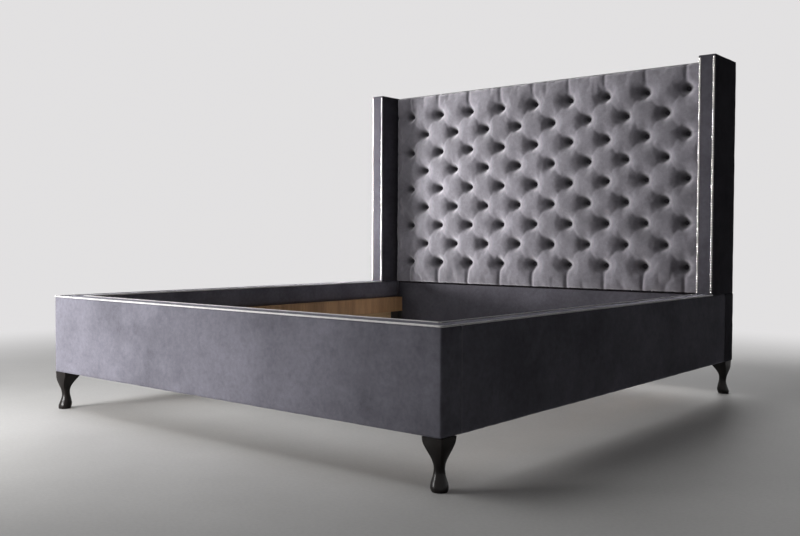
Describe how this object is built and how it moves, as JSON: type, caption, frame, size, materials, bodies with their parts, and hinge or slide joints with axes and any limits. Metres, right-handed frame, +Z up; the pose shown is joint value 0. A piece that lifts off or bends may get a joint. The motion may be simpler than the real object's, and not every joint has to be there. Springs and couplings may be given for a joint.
{
  "type": "chesterfield bed frame",
  "caption": "Upholstered double-bed frame with a deep-buttoned headboard between nail-trimmed wings, padded rails and cabriole legs.",
  "frame": {"origin": "on the floor, under the middle of the bed's outline", "axes": "+Z up, +Y towards the headboard, +X to the right as seen from the foot end"},
  "size_m": [1.9598, 2.193, 1.493],
  "materials": {
    "velvet": "short-pile grey velvet",
    "tufted_velvet": "short-pile grey velvet, deep buttoned",
    "button_velvet": "velvet-covered button",
    "welt_velvet": "pale velvet over cord",
    "foam": "upholstery foam",
    "timber": "planed softwood",
    "ledger_wood": "bare dark brown timber",
    "board": "raw board",
    "leg_wood": "near-black gloss lacquer",
    "steel": "black-painted steel",
    "nail_metal": "polished nickel"
  },
  "bodies": {
    "root": {"foot_battens": "timber", "foot_corner_angles": "steel", "foot_cover": "velvet", "foot_inner_board": "board", "foot_inner_welt": "welt_velvet", "foot_outer_board": "board", "foot_outer_welt": "welt_velvet", "foot_padding": "foam", "foot_posts": "timber", "head_corner_angles": "steel", "headboard_back_cover": "velvet", "headboard_back_panel": "board", "headboard_cross_rails": "timber", "headboard_front_board": "board", "headboard_lower_cover": "velvet", "headboard_lower_padding": "foam", "headboard_posts": "timber", "headboard_top_padding": "foam", "left_ledger": "ledger_wood", "left_rail_cover": "velvet", "left_rail_inner_welt": "welt_velvet", "left_rail_outer_welt": "welt_velvet", "left_rail_padding": "foam", "left_rail_plank": "timber", "left_wing_core": "timber", "left_wing_cover": "velvet", "left_wing_nail_strips": "nail_metal", "left_wing_padding": "foam", "legs": "leg_wood", "right_ledger": "ledger_wood", "right_rail_cover": "velvet", "right_rail_inner_welt": "welt_velvet", "right_rail_outer_welt": "welt_velvet", "right_rail_padding": "foam", "right_rail_plank": "timber", "right_wing_core": "timber", "right_wing_cover": "velvet", "right_wing_nail_strips": "nail_metal", "right_wing_padding": "foam", "tuft_buttons": "button_velvet", "tufted_panel": "tufted_velvet"}
  },
  "joints": []
}
